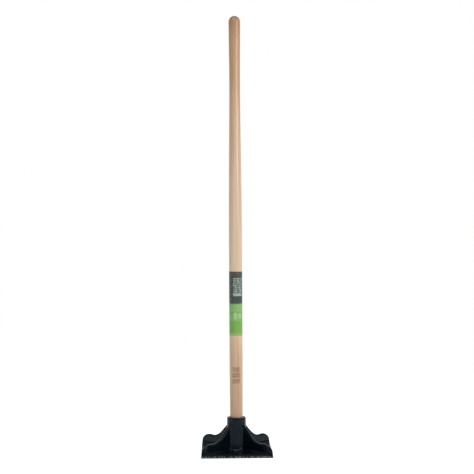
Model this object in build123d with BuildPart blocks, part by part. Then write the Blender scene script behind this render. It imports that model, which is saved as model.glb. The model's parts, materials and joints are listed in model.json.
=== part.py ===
"""Earth rammer (hand tamper): a square cast iron head with four diagonal ribs and a central socket,
on a shaped hardwood handle that one wood screw holds from the rear, with two wrap-round labels.

Millimetres. The origin is the centre of the sole, on the ground. +Z runs up the handle, -Y is the front.
"""

import os
from math import radians, sqrt, tan

from build123d import *

# ---------------------------------------------------------------- driving dimensions
# Cast head: plate
plate_side = 200.0
plate_thickness = 7.0
plate_corner_radius = 3.0
plate_edge_draft = 7.0  # degrees, the plate narrows upwards so that it leaves the mould
sole_edge_rounding = 0.8
foot_sink = 0.3  # how far the ribs' and socket's rounded feet run under the plate's top face

# Cast head: socket
socket_height = 97.0  # rim above the sole
socket_rim_radius = 27.0
socket_draft = 1.0  # degrees, the socket widens downwards
socket_rim_rounding = 2.2
socket_foot_rounding = 10.0
socket_mouth_chamfer = 1.2

# Cast head: ribs, one to each corner of the plate
rib_count = 4
rib_first_angle = 45.0  # degrees from +X
rib_top_thickness = 8.4
rib_draft = 1.2  # degrees on each side
rib_edge_rounding = 3.4
rib_foot_rounding = 8.0
rib_root_rounding = 6.0  # between the ribs' sides and the socket
rib_root_drop = 11.0  # crest's start below the socket's rim
rib_root_overlap = 5.0  # how far the rib runs into the socket's wall
rib_saddle_height = 33.8
rib_hump_rise = 1.0  # above the saddle
rib_end_height = 13.7  # where the hump's shoulder meets the rib's end
rib_end_inset = 2.8  # rib's end back from the plate's corner, along the diagonal
rib_end_slope = 2.0  # how far the end leans out at its foot
# The crest's points lie at shares of the way from the rib's start to its end. The slope and the toe
# stand above the saddle by shares of the root's own rise above it.
rib_slope_share = 0.253
rib_slope_rise_share = 0.423
rib_toe_share = 0.398
rib_toe_rise_share = 0.157
rib_saddle_share = 0.620
rib_hump_share = 0.737

# Handle, from its lower end to its domed top
handle_length = 1200.0
tenon_depth = 59.0  # length of handle inside the socket
tenon_chamfer = 2.0
tenon_end_diameter = 34.6
tenon_clearance = 0.06  # radial, between the tenon and its tapered bore
handle_rim_diameter = 36.3  # where the handle enters the socket
handle_swell_length = 144.0  # from the rim to the barrel's lower end
handle_barrel_diameter = 37.2
handle_upper_length = 618.0  # from the barrel's upper end to the top
handle_shoulder_diameter = 32.7  # half way from the barrel to the grip's narrowest point
handle_shoulder_drop = 333.0  # below the top
handle_grip_diameter = 30.8
handle_grip_drop = 148.0
handle_end_diameter = 33.2  # under the round dome

# Labels, one above the other round the barrel
label_thickness = 0.15
label_adhesive = 0.02
label_height = 91.0
label_rise = 88.0  # lower label's bottom edge above the barrel's lower end

# Retaining screw, through the rear of the socket into the handle
screw_drop = 12.0  # axis below the rim
screw_head_diameter = 9.2
screw_head_height = 3.0
screw_shank_diameter = 4.8
screw_length = 30.0  # under the head
screw_tip_length = 6.0
screw_tip_radius = 0.3
screw_slot_width = 1.2
screw_slot_depth = 1.4
screw_hole_clearance = 0.35  # radial, in the casting
screw_pilot_clearance = 0.04  # radial and at the tip, in the wood
spot_face_depth = 0.9
spot_face_margin = 0.9  # radial, round the screw's head

# ---------------------------------------------------------------- derived dimensions
tenon_bottom = socket_height - tenon_depth
handle_top = tenon_bottom + handle_length
barrel_bottom = socket_height + handle_swell_length
barrel_top = handle_top - handle_upper_length
lower_label_bottom = barrel_bottom + label_rise
screw_height = socket_height - screw_drop
screw_seat = socket_rim_radius + screw_drop * tan(radians(socket_draft)) - spot_face_depth
screw_axis = Axis((0, 0, screw_height), (0, 1, 0))


def socket_radius(height):
    """Outer radius of the drafted socket at a height above the sole."""
    return socket_rim_radius + (socket_height - height) * tan(radians(socket_draft))


# ---------------------------------------------------------------- one rib, along +X
corner_distance = (plate_side / 2 - plate_corner_radius) * sqrt(2) + plate_corner_radius
rib_start = socket_rim_radius - rib_root_overlap
rib_end = corner_distance - rib_end_inset
rib_root_height = socket_height - rib_root_drop
flare_bottom = plate_thickness - foot_sink
flare_top = flare_bottom + rib_foot_rounding


def rib_half_thickness(height):
    """Half the drafted rib's thickness at a height above the sole."""
    return rib_top_thickness / 2 + (rib_root_height - height) * tan(radians(rib_draft))


def crest_point(run_share, rise_share):
    """A point of the rib's crest, from its shares of the run and of the root's rise."""
    distance = rib_start + run_share * (rib_end - rib_start)
    return (distance, rib_saddle_height + rise_share * (rib_root_height - rib_saddle_height))


flare_toe = rib_half_thickness(flare_top) + rib_foot_rounding
hump_distance = rib_start + rib_hump_share * (rib_end - rib_start)

with BuildPart() as rib:
    # Blade: a drafted cross-section, cut to the side profile and rounded along its crest and end.
    with BuildSketch(Plane.YZ):
        with BuildLine():
            Polyline(
                (0, rib_root_height),
                (rib_half_thickness(rib_root_height), rib_root_height),
                (rib_half_thickness(0), 0),
                (0, 0),
            )
            mirror(about=Plane.YZ)
        make_face()
    extrude(amount=corner_distance)
    with BuildSketch(Plane.XZ.offset(-flare_toe)):
        with BuildLine():
            crest = Spline(
                crest_point(0, 1),
                crest_point(rib_slope_share, rib_slope_rise_share),
                crest_point(rib_toe_share, rib_toe_rise_share),
                crest_point(rib_saddle_share, 0),
                (hump_distance, rib_saddle_height + rib_hump_rise),
                tangents=[(1, -1), (1, 0)],
            )
            shoulder = TangentArc(crest @ 1, (rib_end, rib_end_height), tangent=crest % 1)
            Polyline(shoulder @ 1, (rib_end + rib_end_slope, 0), (rib_start, 0), crest @ 0)
        make_face()
    extrude(amount=2 * flare_toe, mode=Mode.INTERSECT)
    outer_edges = (
        rib.edges()
        .filter_by(lambda edge: abs(edge.center().Y) > rib_edge_rounding)
        .filter_by(lambda edge: edge.center().Z > rib_edge_rounding)
        .filter_by(lambda edge: edge.center().X > socket_rim_radius)
    )
    fillet(outer_edges, radius=rib_edge_rounding)
    # Foot: both sides flare into the plate.
    with BuildSketch(Plane.YZ.offset(rib_start)):
        with BuildLine():
            flare = RadiusArc(
                (rib_half_thickness(flare_top), flare_top), (flare_toe, flare_bottom), -rib_foot_rounding
            )
            Polyline(flare @ 1, (flare_toe, 0), (0, 0), (0, flare_top), flare @ 0)
        make_face()
        mirror(about=Plane.YZ)
    extrude(amount=rib_end - rib_edge_rounding - rib_start)
    # Nothing passes the plate's drafted outline.
    with BuildSketch(Plane.XY):
        RectangleRounded(plate_side, plate_side, plate_corner_radius, rotation=rib_first_angle)
    extrude(amount=rib_root_height, taper=plate_edge_draft, mode=Mode.INTERSECT)

# ---------------------------------------------------------------- cast head
wall_foot = flare_bottom + socket_foot_rounding
wall_foot_radius = socket_radius(wall_foot)
foot_toe = wall_foot_radius + socket_foot_rounding
bore_rim_radius = handle_rim_diameter / 2 + tenon_clearance
bore_floor_radius = tenon_end_diameter / 2 + tenon_clearance

with BuildPart() as tamper_head:
    with BuildSketch(Plane.XY):
        RectangleRounded(plate_side, plate_side, plate_corner_radius)
    extrude(amount=plate_thickness, taper=plate_edge_draft)
    # Socket: drafted, with a flared foot.
    with BuildSketch(Plane.XZ):
        with BuildLine():
            wall = Line((socket_rim_radius, socket_height), (wall_foot_radius, wall_foot))
            foot = RadiusArc(wall @ 1, (foot_toe, flare_bottom), -socket_foot_rounding)
            Polyline(foot @ 1, (foot_toe, 0), (0, 0), (0, socket_height), wall @ 0)
        make_face()
    revolve(axis=Axis.Z)
    with PolarLocations(0, rib_count, start_angle=rib_first_angle):
        add(rib.part)
    # The ribs' flat sides meet the drafted socket in elliptical creases.
    creases = tamper_head.edges().filter_by(GeomType.ELLIPSE)
    root_creases = creases.filter_by(lambda crease: crease.center().Z > wall_foot)
    fillet(root_creases, radius=rib_root_rounding)
    fillet(tamper_head.faces().sort_by(Axis.Z)[0].edges(), radius=sole_edge_rounding)
    fillet(tamper_head.edges().sort_by(Axis.Z)[-1], radius=socket_rim_rounding)
    # Tapered bore, its floor under the handle's lower end.
    with BuildSketch(Plane.XZ):
        with BuildLine():
            Polyline(
                (0, tenon_bottom),
                (bore_floor_radius, tenon_bottom),
                (bore_rim_radius, socket_height),
                (0, socket_height),
                close=True,
            )
        make_face()
    revolve(axis=Axis.Z, mode=Mode.SUBTRACT)
    mouth = tamper_head.edges().filter_by(GeomType.CIRCLE).sort_by(Axis.Z)[-2:].sort_by(SortBy.RADIUS)[0]
    chamfer(mouth, length=socket_mouth_chamfer)
    # Spot face and clearance hole for the screw.
    with Locations(Plane(origin=(0, screw_seat, screw_height), z_dir=(0, 1, 0))):
        CounterBoreHole(
            radius=screw_shank_diameter / 2 + screw_hole_clearance,
            counter_bore_radius=screw_head_diameter / 2 + spot_face_margin,
            counter_bore_depth=0,
            depth=screw_seat,
        )
tamper_head.part.label = "tamper_head"


# ---------------------------------------------------------------- retaining screw
def screw_section(clearance):
    """Half the lengthwise section of the screw's shank and tip, larger all over by clearance."""
    shank_radius = screw_shank_diameter / 2 + clearance
    tip_radius = screw_tip_radius + clearance
    tip = screw_seat - screw_length - clearance
    with BuildSketch(Plane.YZ) as section:
        with BuildLine():
            Polyline(
                (screw_seat, screw_height),
                (screw_seat, screw_height + shank_radius),
                (tip + screw_tip_length, screw_height + shank_radius),
                (tip, screw_height + tip_radius),
                (tip, screw_height),
                close=True,
            )
        make_face()
    return section.sketch_local


with BuildPart() as retaining_screw:
    with BuildSketch(Plane.YZ):
        add(screw_section(0))
        with BuildLine():
            crown = TangentArc(
                (screw_seat + screw_head_height, screw_height),
                (screw_seat, screw_height + screw_head_diameter / 2),
                tangent=(0, 1),
            )
            Polyline(crown @ 1, (screw_seat, screw_height), crown @ 0)
        make_face()
    revolve(axis=screw_axis)
    with BuildSketch(Plane.XZ.offset(-screw_seat - screw_head_height)):
        with Locations((0, screw_height)):
            Rectangle(screw_head_diameter, screw_slot_width)
    extrude(amount=screw_slot_depth, mode=Mode.SUBTRACT)
retaining_screw.part.label = "retaining_screw"


# ---------------------------------------------------------------- handle
def handle_section(swell):
    """Half the handle's lengthwise section, with every radius larger by swell."""
    end_radius = handle_end_diameter / 2 + swell
    grip_radius = handle_grip_diameter / 2 + swell
    shoulder_radius = handle_shoulder_diameter / 2 + swell
    barrel_radius = handle_barrel_diameter / 2 + swell
    rim_radius = handle_rim_diameter / 2 + swell
    tenon_radius = tenon_end_diameter / 2 + swell
    dome_bottom = handle_top - handle_end_diameter / 2
    with BuildSketch(Plane.XZ) as section:
        with BuildLine():
            tenon = Polyline(
                (0, tenon_bottom),
                (tenon_radius - tenon_chamfer, tenon_bottom),
                (tenon_radius, tenon_bottom + tenon_chamfer),
                (rim_radius, socket_height),
            )
            swelling = Spline(tenon @ 1, (barrel_radius, barrel_bottom), tangents=[tenon % 1, (0, 1)])
            barrel = Line(swelling @ 1, (barrel_radius, barrel_top))
            grip = Spline(
                barrel @ 1,
                (shoulder_radius, handle_top - handle_shoulder_drop),
                (grip_radius, handle_top - handle_grip_drop),
                (end_radius, dome_bottom),
                tangents=[(0, 1), (0, 1)],
            )
            dome = CenterArc((0, dome_bottom), end_radius, 0, 90)
            Line(dome @ 1, tenon @ 0)
        make_face()
    return section.sketch_local


with BuildPart() as handle:
    with BuildSketch(Plane.XZ):
        add(handle_section(0))
    revolve(axis=Axis.Z)
    with BuildSketch(Plane.YZ):
        add(screw_section(screw_pilot_clearance))
    revolve(axis=screw_axis, mode=Mode.SUBTRACT)
handle.part.label = "handle"


# ---------------------------------------------------------------- labels
label_outside = handle_section(label_adhesive + label_thickness)
label_inside = handle_section(label_adhesive)

with BuildPart() as green_label:
    with BuildSketch(Plane.XZ):
        add(label_outside)
        add(label_inside, mode=Mode.SUBTRACT)
        with Locations((0, lower_label_bottom)):
            Rectangle(handle_barrel_diameter, label_height, align=(Align.MIN, Align.MIN), mode=Mode.INTERSECT)
    revolve(axis=Axis.Z)
green_label.part.label = "green_label"

with BuildPart() as dark_label:
    with BuildSketch(Plane.XZ):
        add(label_outside)
        add(label_inside, mode=Mode.SUBTRACT)
        with Locations((0, lower_label_bottom + label_height)):
            Rectangle(handle_barrel_diameter, label_height, align=(Align.MIN, Align.MIN), mode=Mode.INTERSECT)
    revolve(axis=Axis.Z)
dark_label.part.label = "dark_label"

# ---------------------------------------------------------------- export
os.makedirs("parts", exist_ok=True)
export_step(tamper_head.part, "parts/tamper_head.step")
export_step(handle.part, "parts/handle.step")
export_step(retaining_screw.part, "parts/retaining_screw.step")
export_step(dark_label.part, "parts/dark_label.step")
export_step(green_label.part, "parts/green_label.step")
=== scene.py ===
"""Studio scene of an earth rammer: an enamelled cast iron head on a turned hardwood handle, with two labels.

Metres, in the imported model's own frame: +Z runs up the handle from the sole, and -Y is the front.
"""

import json
import math

import bmesh
import bpy
import numpy as np
from mathutils import Matrix, Vector, noise


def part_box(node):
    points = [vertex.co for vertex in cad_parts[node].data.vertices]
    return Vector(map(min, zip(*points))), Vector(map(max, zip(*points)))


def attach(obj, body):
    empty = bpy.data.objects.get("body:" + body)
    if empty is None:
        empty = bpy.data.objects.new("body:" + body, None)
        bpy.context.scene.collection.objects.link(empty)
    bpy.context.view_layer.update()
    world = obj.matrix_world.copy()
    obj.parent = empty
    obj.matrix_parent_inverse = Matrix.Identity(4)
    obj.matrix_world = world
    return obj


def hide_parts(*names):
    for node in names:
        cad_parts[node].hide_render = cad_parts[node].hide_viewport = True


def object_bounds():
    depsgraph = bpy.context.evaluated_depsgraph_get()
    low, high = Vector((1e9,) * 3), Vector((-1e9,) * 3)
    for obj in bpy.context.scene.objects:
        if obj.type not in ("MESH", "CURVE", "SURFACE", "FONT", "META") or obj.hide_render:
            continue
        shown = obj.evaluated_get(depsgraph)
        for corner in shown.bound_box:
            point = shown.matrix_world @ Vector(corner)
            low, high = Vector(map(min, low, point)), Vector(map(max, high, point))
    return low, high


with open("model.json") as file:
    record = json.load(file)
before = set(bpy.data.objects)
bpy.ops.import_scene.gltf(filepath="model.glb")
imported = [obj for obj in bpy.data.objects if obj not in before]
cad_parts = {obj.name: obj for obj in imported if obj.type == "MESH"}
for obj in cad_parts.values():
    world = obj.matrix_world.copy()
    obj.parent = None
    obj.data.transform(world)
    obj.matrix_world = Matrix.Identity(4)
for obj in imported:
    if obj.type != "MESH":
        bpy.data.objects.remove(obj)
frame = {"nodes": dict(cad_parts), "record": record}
cad_low, cad_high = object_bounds()

MM = 0.001
head_low, head_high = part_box("tamper_head")
handle_low, handle_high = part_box("handle")
dark_low, dark_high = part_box("dark_label")
green_low, green_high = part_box("green_label")
barrel = next(mount for mount in frame["record"]["mounts"] if mount["name"] == "handle_barrel")
barrel_radius = barrel["dims"]["r_mm"] * MM
label_height = green_high.z - green_low.z


# ---------------------------------------------------------------- shader building
class Shader:
    """A material whose node tree is built by short calls. Every colour is linear."""

    def __init__(self, name):
        self.material = bpy.data.materials.new(name)
        self.material.use_nodes = True
        self.tree = self.material.node_tree
        self.surface = self.tree.nodes["Principled BSDF"]
        self.place = self.node("ShaderNodeTexCoord").outputs["Object"]
        split = self.node("ShaderNodeSeparateXYZ", {0: self.place})
        self.x, self.y, self.z = split.outputs

    def node(self, kind, inputs=None, **settings):
        """A new node, its inputs given as values or as other nodes' outputs."""
        made = self.tree.nodes.new(kind)
        for key, value in settings.items():
            setattr(made, key, value)
        for key, value in (inputs or {}).items():
            self.set(made.inputs[key], value)
        return made

    def set(self, socket, value):
        """Links or sets one input."""
        if isinstance(value, bpy.types.NodeSocket):
            self.tree.links.new(value, socket)
        else:
            socket.default_value = value

    def math(self, operation, a, b=0.0, clamp=False):
        made = self.node("ShaderNodeMath", {0: a, 1: b}, operation=operation)
        made.use_clamp = clamp
        return made.outputs[0]

    def add(self, a, b):
        return self.math("ADD", a, b)

    def times(self, a, b):
        return self.math("MULTIPLY", a, b)

    def step(self, value, low, high):
        """0 at low and 1 at high, smoothly between them and level beyond. Low may be the larger."""
        made = self.node(
            "ShaderNodeMapRange",
            {"Value": value, "From Min": low, "From Max": high},
            interpolation_type="SMOOTHSTEP",
        )
        return made.outputs["Result"]

    def band(self, value, low, high, soft):
        """1 between low and high, 0 outside, with soft edges."""
        rise = self.step(value, low - soft / 2, low + soft / 2)
        fall = self.step(value, high - soft / 2, high + soft / 2)
        return self.math("SUBTRACT", rise, fall, clamp=True)

    def mapped(self, scale=(1, 1, 1), rotation=(0, 0, 0), location=(0, 0, 0)):
        """The place, scaled, turned and moved."""
        made = self.node(
            "ShaderNodeMapping",
            {"Vector": self.place, "Scale": scale, "Rotation": rotation, "Location": location},
        )
        return made.outputs[0]

    def noise(self, vector, scale, detail, roughness):
        made = self.node(
            "ShaderNodeTexNoise",
            {"Vector": vector, "Scale": scale, "Detail": detail, "Roughness": roughness},
        )
        return made.outputs["Fac"]

    def ramp(self, value, stops):
        """Colours at places from 0 to 1 along value."""
        made = self.node("ShaderNodeValToRGB", {"Fac": value})
        elements = made.color_ramp.elements
        while len(elements) < len(stops):
            elements.new(0.5)
        for element, (position, colour) in zip(elements, stops):
            element.position = position
            element.color = (*colour, 1)
        return made.outputs["Color"]

    def mix(self, factor, a, b, blend="MIX"):
        """Colour a turning to colour b."""
        made = self.node("ShaderNodeMix", data_type="RGBA", blend_type=blend)
        self.set(made.inputs["Factor"], factor)
        for socket, colour in ((made.inputs[6], a), (made.inputs[7], b)):
            self.set(socket, colour if isinstance(colour, bpy.types.NodeSocket) else (*colour, 1))
        return made.outputs[2]

    def layered(self, colour, layers, blend="MIX"):
        """A colour under tints that are laid one after another, each by its mask and strength."""
        for mask, strength, tint in layers:
            colour = self.mix(self.times(mask, strength), colour, tint, blend)
        return colour

    def bump(self, height, distance, strength, normal=None):
        made = self.node("ShaderNodeBump", {"Height": height, "Distance": distance, "Strength": strength})
        if normal is not None:
            self.set(made.inputs["Normal"], normal)
        return made.outputs["Normal"]

    def finish(self, **sockets):
        """Sets the surface shader's inputs by name, with _ for a space."""
        for key, value in sockets.items():
            name = key.replace("_", " ")
            if isinstance(value, tuple) and len(value) == 3:
                value = (*value, 1)
            self.set(self.surface.inputs[name], value)
        return self.material


def linear(red, green, blue):
    """A display colour of 0 to 255 a channel as a linear colour."""
    channels = [channel / 255 for channel in (red, green, blue)]
    return tuple(c / 12.92 if c <= 0.04045 else ((c + 0.055) / 1.055) ** 2.4 for c in channels)


# ---------------------------------------------------------------- materials
def enamelled_iron():
    """Glossy blue-black enamel over a sand-cast skin, worn on its edges, with painted reflection streaks on
    the socket, a painted highlight in the edges' scuffs, and dust and a painted sheen round the plate's top.
    """
    s = Shader("enamelled_iron")
    geometry = s.node("ShaderNodeNewGeometry").outputs
    skin = s.noise(s.place, 210, 4, 0.55)
    pits = s.noise(s.place, 900, 2, 0.6)
    patches = s.noise(s.place, 26, 3, 0.6)
    worn = s.times(s.step(geometry["Pointiness"], 0.56, 0.64), s.step(skin, 0.40, 0.62))
    scuffs_and_highlight = scuffs_and_edge_highlight(s)

    deep_blue, thin_blue = (0.0014, 0.0030, 0.0054), (0.0030, 0.0056, 0.0088)
    pale_blue, dust_and_sheen_grey = (0.052, 0.060, 0.068), (0.080, 0.085, 0.085)
    dull_iron, bare_iron_and_highlight = (0.060, 0.066, 0.070), (0.20, 0.21, 0.21)
    colour = s.layered(
        s.mix(s.step(patches, 0.35, 0.7), deep_blue, thin_blue),
        [
            (worn, 0.55, dull_iron),
            # Painted reflection: pale blue upright streaks on the socket.
            (painted_socket_reflections(s), 0.25, pale_blue),
            # Wear and painted highlight: bare-iron patches along the sole's upright edges.
            (scuffs_and_highlight, 0.65, bare_iron_and_highlight),
            # Dust in clouds, and a painted sheen on the plate's level top towards its edges.
            (dust_and_sheen(s, geometry["Normal"]), 1.0, dust_and_sheen_grey),
        ],
    )

    roughness = s.add(s.times(patches, 0.12), s.add(s.times(s.math("MAXIMUM", worn, scuffs_and_highlight), 0.25), 0.12))
    normal = s.bump(skin, 0.35 * MM, 0.40)
    normal = s.bump(pits, 0.08 * MM, 0.25, normal)
    return s.finish(
        Base_Color=colour,
        Roughness=roughness,
        Normal=normal,
        Specular_IOR_Level=0.17,
        Specular_Tint=(0.62, 0.86, 1.0),
    )


def painted_socket_reflections(s):
    """Pale upright streaks painted on the socket where it shows the lamps' reflections, and on nothing
    further from the axis.
    """
    # Painted reflection streaks, stretched upright round the socket.
    runs = s.step(s.noise(s.mapped((1, 1, 0.04), location=(0.37, 0.11, 0)), 190, 2, 0.5), 0.50, 0.72)
    off_axis = s.node("ShaderNodeVectorMath", {0: s.mapped((1, 1, 0))}, operation="LENGTH").outputs["Value"]
    return s.times(runs, s.step(off_axis, 30 * MM, 28.5 * MM))


def square_reach(s):
    """How far out a place lies along X or Y, whichever is more: the same all along the plate's sides."""
    return s.math("MAXIMUM", s.math("ABSOLUTE", s.x), s.math("ABSOLUTE", s.y))


def scuffs_and_edge_highlight(s):
    """Bare-iron patches on the plate's upright edges near the sole: enamel knocked off in use, and a painted
    highlight along those edges.
    """
    spots = s.step(s.noise(s.mapped((1, 1, 0.4)), 170, 3, 0.6), 0.40, 0.62)
    outside = s.step(square_reach(s), head_high.x - 3 * MM, head_high.x - 1.5 * MM)
    return s.times(spots, s.times(outside, s.band(s.z, 0.2 * MM, 5.5 * MM, 1 * MM)))


def dust_and_sheen(s, normal):
    """Thin dust everywhere in clouds, and on the plate's level top towards its edges a painted sheen in the
    same grey.
    """
    clouds = s.times(s.step(s.noise(s.place, 60, 5, 0.65), 0.52, 0.72), 0.03)
    level = s.step(s.node("ShaderNodeSeparateXYZ", {0: normal}).outputs["Z"], 0.80, 0.98)
    outer = s.step(square_reach(s), head_high.x - 45 * MM, head_high.x - 5 * MM)
    low_down = s.step(s.z, 12 * MM, 9 * MM)
    # Painted sheen: the level plate top made paler towards its edges, low down.
    return s.add(clouds, s.times(s.times(s.times(level, outer), low_down), 0.10))


# Display colours of the wood by height above the sole, from the socket up to the dome: palest in the middle
# and browner towards both ends, partly the wood's own tone and partly painted light, brightest where the
# lamps fall most.
WOOD_TONE_AND_LIGHT_BY_HEIGHT = [
    (0.096, (190, 157, 127)),
    (0.264, (204, 172, 142)),
    (0.330, (216, 186, 155)),
    (0.560, (221, 198, 169)),
    (0.760, (219, 190, 162)),
    (0.940, (211, 178, 149)),
    (1.060, (194, 158, 124)),
    (1.160, (193, 155, 120)),
    (1.238, (172, 132, 94)),
]


def handle_wood():
    """Turned straight-grained hardwood under satin lacquer, browner towards its top, with painted light in
    its tone by height.
    """
    s = Shader("handle_wood")
    share_of_height = s.times(s.z, 1 / handle_high.z)
    # Painted light as well as the wood's own tone: the colour by height is palest where the lamps fall most.
    base = s.ramp(share_of_height, [(z / handle_high.z, linear(*colour)) for z, colour in WOOD_TONE_AND_LIGHT_BY_HEIGHT])
    drift = s.noise(s.mapped((1, 1, 0.06)), 34, 2, 0.5)
    rings = s.node(
        "ShaderNodeTexWave",
        {
            "Vector": s.mapped((1, 0.35, 0.012), (0, 0, math.radians(24))),
            "Scale": 92,
            "Distortion": 5.5,
            "Detail": 2,
            "Detail Scale": 0.45,
            "Detail Roughness": 0.6,
        },
        bands_direction="X",
        wave_profile="SAW",
    ).outputs["Fac"]
    pores = s.noise(s.mapped((1, 1, 0.022)), 1500, 3, 0.7)
    streaks = s.noise(s.mapped((1, 1, 0.010)), 300, 4, 0.6)
    dome = dome_patch(s)

    grain_layers = [
        (s.step(rings, 0.25, 0.95), 0.20, (0.42, 0.24, 0.12)),
        (s.step(streaks, 0.45, 0.70), 0.42, (0.60, 0.46, 0.33)),
        (s.step(drift, 0.50, 0.75), 0.22, (0.80, 0.62, 0.46)),
        (s.step(pores, 0.60, 0.74), 0.50, (0.36, 0.24, 0.14)),
    ]
    scorched_wood, dark_end_grain = linear(122, 88, 56), linear(40, 27, 18)
    colour = s.layered(base, grain_layers, "MULTIPLY")
    colour = s.layered(colour, [(stamp(s), 1.0, scorched_wood), (dome, 1.0, dark_end_grain)])

    grain = s.add(s.times(pores, 0.6), s.times(streaks, 0.4))
    roughness = s.add(s.add(s.times(streaks, 0.18), s.times(dome, 0.45)), 0.38)
    return s.finish(
        Base_Color=colour,
        Roughness=roughness,
        Normal=s.bump(grain, 0.12 * MM, 0.5),
        Specular_IOR_Level=0.4,
        Coat_Weight=0.55,
        Coat_Roughness=0.30,
    )


def stamp(s):
    """A generic burned mark of three plain barred blocks on the front, with no letter or sign in it."""
    middle = 217 * MM
    half_width = 10.6 * MM
    soft = 1.2 * MM
    front = s.step(s.times(s.y, -1), 0.0, 4 * MM)
    across = s.band(s.x, -half_width, half_width, soft)
    scorch = s.step(s.noise(s.mapped((1, 1, 0.5)), 110, 2, 0.5), 0.35, 0.62)
    blocks = []
    # Each block's middle above the mark's own, half its height, and its bars.
    for rise, half_height, bars in ((16.6, 6.6, 3), (0.8, 7.0, 2), (-16.4, 6.4, 2)):
        low = middle + (rise - half_height) * MM
        height = 2 * half_height * MM
        phase = s.math("FRACT", s.times(s.math("SUBTRACT", s.z, low), bars / height))
        shade = s.add(s.times(s.band(phase, 0.12, 0.80, 0.30), 0.35), 0.65)
        blocks.append(s.times(s.times(across, s.band(s.z, low, low + height, soft)), shade))
    mark = s.add(s.add(blocks[0], blocks[1]), blocks[2])
    return s.times(s.times(mark, front), s.add(s.times(scorch, 0.40), 0.42))


def dome_patch(s):
    """Darker end grain on the handle's dome."""
    cap = s.step(s.z, handle_high.z - 12 * MM, handle_high.z - 5 * MM)
    return s.times(cap, s.add(s.times(s.noise(s.place, 220, 4, 0.6), 0.3), 0.70))


def label_film(s, colour, least_roughness):
    """A printed film's gloss, over faint wrinkles."""
    wrinkles = s.noise(s.mapped((1, 1, 0.4)), 120, 3, 0.5)
    fibres = s.noise(s.place, 2600, 2, 0.5)
    roughness = s.add(s.times(wrinkles, 0.15), least_roughness)
    normal = s.bump(wrinkles, 0.20 * MM, 0.45)
    normal = s.bump(fibres, 0.03 * MM, 0.3, normal)
    return s.finish(Base_Color=colour, Roughness=roughness, Normal=normal, Specular_IOR_Level=0.25)


def on_label(s, low):
    """Where a place lies on a label: degrees round from the front towards +X, and share of its height."""
    turn = s.math("ARCTAN2", s.x, s.times(s.y, -1))
    height = s.times(s.math("SUBTRACT", s.z, low.z), 1 / label_height)
    return s.times(turn, 180 / math.pi), height


def printed_panel(s, height):
    """Rows of plain broken bars that spell nothing, over a pale foot."""
    rows = 17
    bars = s.band(s.math("FRACT", s.times(height, rows)), 0.22, 0.74, 0.2)
    breaks = s.step(s.noise(s.mapped((1, 1, 0.6), location=(0.31, 0.2, 0.1)), 190, 2, 0.5), 0.42, 0.56)
    clouds = s.step(s.noise(s.place, 150, 2, 0.5), 0.50, 0.66)
    foot = s.band(height, 0.235, 0.31, 0.02)
    grey_green, chalk = linear(100, 114, 110), linear(190, 196, 186)
    slate, pale_blue = linear(86, 98, 92), linear(178, 188, 194)
    tone = s.mix(s.times(bars, breaks), grey_green, chalk)
    return s.layered(tone, [(clouds, 0.5, slate), (foot, 0.75, pale_blue)])


def dark_label_film():
    """Charcoal film, warmer at its top, with a pale panel, and a thin broken pale line along the seam's lap
    that is a painted highlight.
    """
    s = Shader("dark_label_film")
    angle, height = on_label(s, dark_low)
    charcoal, grey = linear(48, 58, 54), linear(78, 88, 82)
    warm_grey, chalk = linear(106, 92, 84), linear(158, 160, 152)
    panel = s.times(s.band(angle, -26, 62, 5), s.band(height, 0.235, 0.80, 0.03))
    dashes = s.step(s.noise(s.mapped(location=(0, 0, 0.4)), 210, 2, 0.5), 0.42, 0.60)
    # Painted highlight: a thin broken pale line along the film's lapped seam.
    seam_highlight = s.times(s.times(s.band(angle, -50, -41, 3), s.band(height, 0.08, 0.93, 0.05)), dashes)
    colour = s.mix(s.noise(s.place, 300, 3, 0.6), charcoal, grey)
    colour = s.layered(colour, [(s.step(height, 0.82, 0.98), 0.5, warm_grey)])
    colour = s.mix(s.times(panel, 0.85), colour, printed_panel(s, height))
    colour = s.layered(colour, [(seam_highlight, 0.50, chalk)])
    return label_film(s, colour, 0.27)


def green_label_film():
    """Film in two greens, with a darker stripe, two plain pale strokes and an olive foot."""
    s = Shader("green_label_film")
    angle, height = on_label(s, green_low)
    mottle = s.noise(s.place, 260, 3, 0.55)
    upper = s.mix(mottle, linear(118, 166, 94), linear(142, 184, 118))
    lower = s.mix(mottle, linear(106, 158, 70), linear(126, 176, 88))
    wide_stroke = s.times(s.band(height, 0.52, 0.73, 0.04), s.band(angle, -20, 6, 5))
    narrow_stroke = s.times(s.band(height, 0.55, 0.70, 0.04), s.band(angle, 22, 48, 5))
    colour = s.layered(
        s.mix(s.step(height, 0.42, 0.50), lower, upper),
        [
            (s.band(height, 0.70, 0.745, 0.02), 0.45, linear(98, 146, 76)),
            (wide_stroke, 0.5, linear(182, 216, 158)),
            (narrow_stroke, 0.4, linear(176, 212, 150)),
            (s.step(height, 0.13, 0.02), 0.7, linear(150, 168, 106)),
        ],
    )
    return label_film(s, colour, 0.29)


def screw_steel():
    """Zinc plate with a fine spangle and grey stains."""
    s = Shader("screw_steel")
    spangle = s.noise(s.place, 2400, 3, 0.6)
    stains = s.noise(s.place, 420, 3, 0.6)
    zinc, stained_zinc = (0.62, 0.62, 0.58), (0.38, 0.37, 0.34)
    return s.finish(
        Base_Color=s.mix(s.step(stains, 0.45, 0.75), zinc, stained_zinc),
        Metallic=1.0,
        Roughness=s.add(s.times(stains, 0.25), 0.18),
        Normal=s.bump(spangle, 0.04 * MM, 0.5),
    )


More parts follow.
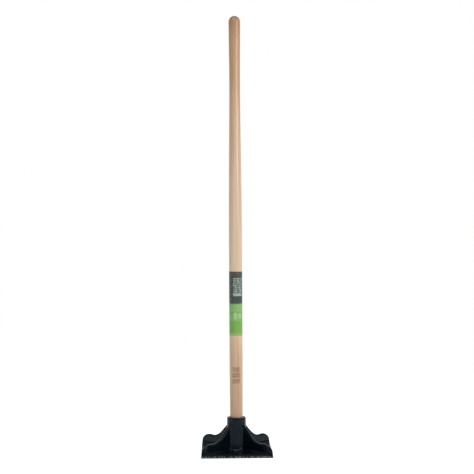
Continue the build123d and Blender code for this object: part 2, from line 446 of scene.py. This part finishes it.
def pale_floor():
    """A matt white studio floor that fades into the backdrop's own white far away."""
    fade_start, fade_end = 0.5, 2.4
    white = (1, 1, 1)
    s = Shader("pale_floor")
    s.finish(
        Base_Color=s.mix(s.noise(s.place, 9, 3, 0.5), (0.86, 0.86, 0.86), (0.88, 0.88, 0.88)),
        Roughness=0.75,
        Specular_IOR_Level=0.2,
        Emission_Color=white,
        Emission_Strength=0.62,
    )
    glow = s.node("ShaderNodeEmission", {"Color": (*white, 1), "Strength": 1.0})
    distance = s.node("ShaderNodeVectorMath", {0: s.place}, operation="LENGTH").outputs["Value"]
    fade = s.step(distance, fade_start, fade_end)
    blend = s.node("ShaderNodeMixShader", {0: fade, 1: s.surface.outputs[0], 2: glow.outputs[0]})
    s.set(s.tree.nodes["Material Output"].inputs["Surface"], blend.outputs[0])
    return s.material


# ---------------------------------------------------------------- pieces
def show(piece, body, material, slot, *nodes):
    """Gives a finished piece its material and body, in place of the CAD nodes."""
    piece.data.materials.clear()
    piece.data.materials.append(material)
    for face in piece.data.polygons:
        face.use_smooth = True
    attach(piece, body)
    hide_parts(*nodes)


def link(name, mesh):
    """A new object for a mesh, in the scene."""
    piece = bpy.data.objects.new(name, mesh)
    bpy.context.scene.collection.objects.link(piece)
    return piece


def link_bmesh(name, mesh):
    """A new object for a finished bmesh, which is freed."""
    data = bpy.data.meshes.new(name)
    mesh.to_mesh(data)
    mesh.free()
    return link(name, data)


def bake_modifiers(piece):
    """Turns a piece's modifiers into its own mesh."""
    evaluated = piece.evaluated_get(bpy.context.evaluated_depsgraph_get())
    mesh = bpy.data.meshes.new_from_object(evaluated)
    piece.modifiers.clear()
    piece.data = mesh


def lathe(name, profile, segments, wobble):
    """A closed solid turned about Z from (radius, height) points, capped flat at both ends.

    wobble(angle, height) multiplies the radius.
    """
    mesh = bmesh.new()
    rows = []
    for radius, height in profile:
        row = []
        for k in range(segments):
            angle = 2 * math.pi * k / segments
            r = radius * wobble(angle, height)
            row.append(mesh.verts.new((r * math.cos(angle), r * math.sin(angle), height)))
        rows.append(row)
    for lower, upper in zip(rows, rows[1:]):
        for k in range(segments):
            n = (k + 1) % segments
            mesh.faces.new((lower[k], lower[n], upper[n], upper[k]))
    mesh.faces.new(reversed(rows[0]))
    mesh.faces.new(rows[-1])
    return link_bmesh(name, mesh)


def cast_head():
    """The head's shape from the frame, remeshed with its creases blended and its skin uneven, as cast."""
    voxel = 1.0 * MM
    plate_top = 6.5 * MM
    node = frame["nodes"]["tamper_head"]
    piece = link("cast_head", node.data.copy())
    remesh = piece.modifiers.new("remesh", "REMESH")
    remesh.mode = "VOXEL"
    remesh.voxel_size = voxel
    bake_modifiers(piece)

    # The smoothing would round the plate's edges off, so they are laid back on the node's own surface.
    plate = piece.vertex_groups.new(name="plate")
    plate.add([v.index for v in piece.data.vertices if v.co.z < plate_top], 1.0, "REPLACE")
    smooth = piece.modifiers.new("smooth", "SMOOTH")
    smooth.factor = 0.5
    smooth.iterations = 6
    true_edges = piece.modifiers.new("true_edges", "SHRINKWRAP")
    true_edges.target = node
    true_edges.vertex_group = "plate"
    bake_modifiers(piece)
    roughen(piece.data)
    return piece


def roughen(mesh):
    """Moves the head's skin in and out as sand casting leaves it, but not in the bore or on the sole."""
    depth = 0.25 * MM
    coarse, fine = 55, 140  # cycles a metre
    fine_share = 0.5
    bore_radius = barrel_radius + 1.5 * MM
    bore_bottom = 30 * MM
    sole_top = 1.5 * MM

    count = len(mesh.vertices)
    points = np.empty(count * 3, np.float32)
    normals = np.empty(count * 3, np.float32)
    mesh.vertices.foreach_get("co", points)
    mesh.vertex_normals.foreach_get("vector", normals)
    points = points.reshape(-1, 3)
    normals = normals.reshape(-1, 3)
    lift = [noise.noise(Vector(p) * coarse) + fine_share * noise.noise(Vector(p) * fine) for p in points]
    lift = np.array(lift)
    in_bore = (np.hypot(points[:, 0], points[:, 1]) < bore_radius) & (points[:, 2] > bore_bottom)
    on_sole = points[:, 2] < sole_top
    lift[in_bore | on_sole] = 0
    points += normals * (lift * depth)[:, None].astype(np.float32)
    np.clip(points, np.array(head_low), np.array(head_high), out=points)
    mesh.vertices.foreach_set("co", points.ravel())
    mesh.update()


def outline_of(node):
    """Heights and radii of a turned node's outline, one for each millimetre that has a ring in the frame."""
    points = np.array([v.co for v in frame["nodes"][node].data.vertices])
    heights = np.round(points[:, 2] / MM).astype(int)
    radii = np.hypot(points[:, 0], points[:, 1])
    rings = {}
    for height, radius in zip(heights, radii):
        rings[height] = max(rings.get(height, 0.0), radius)

    def is_outline(height, radius):
        # The screw's hole leaves a few rings that show only its walls, well inside their neighbours.
        beside = max(rings.get(height - 1, 0), rings.get(height + 1, 0))
        return radius >= 0.97 * beside or radius < 0.2 * MM

    ordered = sorted(height for height, radius in rings.items() if is_outline(height, radius))
    return np.array(ordered) * MM, np.array([rings[height] for height in ordered])


def turned_handle():
    """The handle as a fine lathe mesh that follows the frame's outline, with a trace of hand sanding."""
    segments = 96
    ring_pitch = 3 * MM
    dome_turns = np.radians(np.linspace(0, 88, 23))
    heights, radii = outline_of("handle")
    end_radius = float(np.interp(handle_high.z - 20 * MM, heights, radii))
    dome_bottom = handle_high.z - end_radius
    levels = np.arange(handle_low.z, dome_bottom, ring_pitch)
    profile = [(float(np.interp(z, heights, radii)), z) for z in levels]
    profile += [(end_radius * math.cos(t), dome_bottom + end_radius * math.sin(t)) for t in dome_turns]
    grip_bottom = handle_low.z + 0.55 * (handle_high.z - handle_low.z)

    def sanding(angle, height):
        depth = 0.004 if height > grip_bottom else 0.0
        place = Vector((math.cos(angle), math.sin(angle), height * 14))
        return 1 - depth * (0.5 + 0.5 * noise.noise(place))

    return lathe("turned_handle", profile, segments, sanding)


def wrapped_label(name, low, high, seam_degrees):
    """A film wound once round the barrel, its end lapped over its start at the seam."""
    film = 0.15 * MM
    gap = 0.02 * MM
    wound_degrees = 374
    climb_start, climb_degrees = 352, 8  # where the film lifts on to its own start
    steps = 96
    rows = 13
    mesh = bmesh.new()
    inner, outer = [], []
    for j in range(rows):
        z = low.z + (high.z - low.z) * j / (rows - 1)
        inner_row, outer_row = [], []
        for k in range(steps + 1):
            wound = wound_degrees * k / steps
            angle = math.radians(seam_degrees - 90 + wound)
            climb = max(0.0, min(1.0, (wound - climb_start) / climb_degrees))
            radius = barrel_radius + gap + climb * (film + gap / 2)
            for row, r in ((inner_row, radius), (outer_row, radius + film)):
                row.append(mesh.verts.new((r * math.cos(angle), r * math.sin(angle), z)))
        inner.append(inner_row)
        outer.append(outer_row)
    for j in range(rows - 1):
        for k in range(steps):
            mesh.faces.new((outer[j][k], outer[j][k + 1], outer[j + 1][k + 1], outer[j + 1][k]))
            mesh.faces.new((inner[j][k], inner[j + 1][k], inner[j + 1][k + 1], inner[j][k + 1]))
        mesh.faces.new((inner[j][0], outer[j][0], outer[j + 1][0], inner[j + 1][0]))
        mesh.faces.new((outer[j][steps], inner[j][steps], inner[j + 1][steps], outer[j + 1][steps]))
    for k in range(steps):
        mesh.faces.new((inner[0][k], inner[0][k + 1], outer[0][k + 1], outer[0][k]))
        mesh.faces.new((inner[-1][k + 1], inner[-1][k], outer[-1][k], outer[-1][k + 1]))
    bmesh.ops.recalc_face_normals(mesh, faces=mesh.faces)
    return link_bmesh(name, mesh)


show(cast_head(), "root", enamelled_iron(), "enamelled_iron", "tamper_head")
show(turned_handle(), "root", handle_wood(), "handle_wood", "handle")
dark_film = wrapped_label("dark_film", dark_low, dark_high, seam_degrees=-52)
show(dark_film, "root", dark_label_film(), "dark_label_film", "dark_label")
green_film = wrapped_label("green_film", green_low, green_high, seam_degrees=178)
show(green_film, "root", green_label_film(), "green_label_film", "green_label")

screw = frame["nodes"]["retaining_screw"]
screw.data.materials.clear()
screw.data.materials.append(screw_steel())


# ---------------------------------------------------------------- studio
def studio_world():
    """A backdrop that the camera sees as white, though it lights the tool dimly, and mostly from behind."""
    front_light, rear_light = 0.03, 0.60
    scene = bpy.context.scene
    scene.view_settings.view_transform = "Standard"
    scene.world = bpy.data.worlds.new("studio")
    scene.world.use_nodes = True
    tree = scene.world.node_tree
    background = tree.nodes["Background"]
    background.inputs["Color"].default_value = (1, 1, 1, 1)

    # The sweep behind the tool is bright, and the room in front of it dark.
    direction = tree.nodes.new("ShaderNodeSeparateXYZ")
    tree.links.new(tree.nodes.new("ShaderNodeTexCoord").outputs["Generated"], direction.inputs[0])
    surround = tree.nodes.new("ShaderNodeMapRange")
    surround.interpolation_type = "SMOOTHSTEP"
    levels = {"From Min": -0.35, "From Max": 0.55, "To Min": front_light, "To Max": rear_light}
    for name, value in levels.items():
        surround.inputs[name].default_value = value
    tree.links.new(direction.outputs["Y"], surround.inputs["Value"])

    rays = tree.nodes.new("ShaderNodeLightPath")
    strength = tree.nodes.new("ShaderNodeMapRange")
    tree.links.new(rays.outputs["Is Camera Ray"], strength.inputs["Value"])
    tree.links.new(surround.outputs["Result"], strength.inputs["To Min"])
    tree.links.new(strength.outputs["Result"], background.inputs["Strength"])


def studio_floor():
    """A round pale floor under the sole."""
    radius = 12.0
    under_sole = (0, 0, head_low.z)
    bpy.ops.mesh.primitive_circle_add(vertices=96, radius=radius, fill_type="NGON", location=under_sole)
    floor = bpy.context.object
    floor.name = "studio_floor"
    floor.data.materials.append(pale_floor())


def soft_light(name, power, size, place):
    """A white square area light at a place, aimed at the tool's middle."""
    target = Vector((0, 0, 0.5 * cad_high.z))
    light = bpy.data.lights.new(name, "AREA")
    light.energy = power
    light.size = size
    lamp = bpy.data.objects.new(name, light)
    lamp.location = place
    lamp.rotation_mode = "QUATERNION"
    lamp.rotation_quaternion = (target - Vector(place)).to_track_quat("-Z", "Y")
    bpy.context.scene.collection.objects.link(lamp)


def camera():
    """A long lens at hip height, looking level at the tool from its front."""
    distance = 2.898
    height = 0.6089
    azimuth = math.radians(-1.1)
    roll = math.radians(-0.30)
    aim_right = 0.0045
    lens_mm, sensor_mm = 77.3, 36
    data = bpy.data.cameras.new("camera")
    data.lens = lens_mm
    data.sensor_width = sensor_mm
    made = bpy.data.objects.new("camera", data)
    right = Vector((math.cos(azimuth), math.sin(azimuth), 0))
    back = Vector((math.sin(azimuth), -math.cos(azimuth), 0))
    place = back * distance + Vector((0, 0, height))
    look = Vector((0, 0, height)) + right * aim_right - place
    made.location = place
    made.rotation_mode = "QUATERNION"
    made.rotation_quaternion = look.to_track_quat("-Z", "Y") @ Matrix.Rotation(roll, 3, "Z").to_quaternion()
    bpy.context.scene.collection.objects.link(made)
    bpy.context.scene.camera = made


studio_world()
studio_floor()
soft_light("key", power=39, size=1.1, place=(2.0, -1.9, 1.5))
soft_light("fill", power=6, size=1.6, place=(-1.6, -2.4, 1.2))
soft_light("top", power=34, size=1.6, place=(0.0, -0.2, 2.9))
camera()
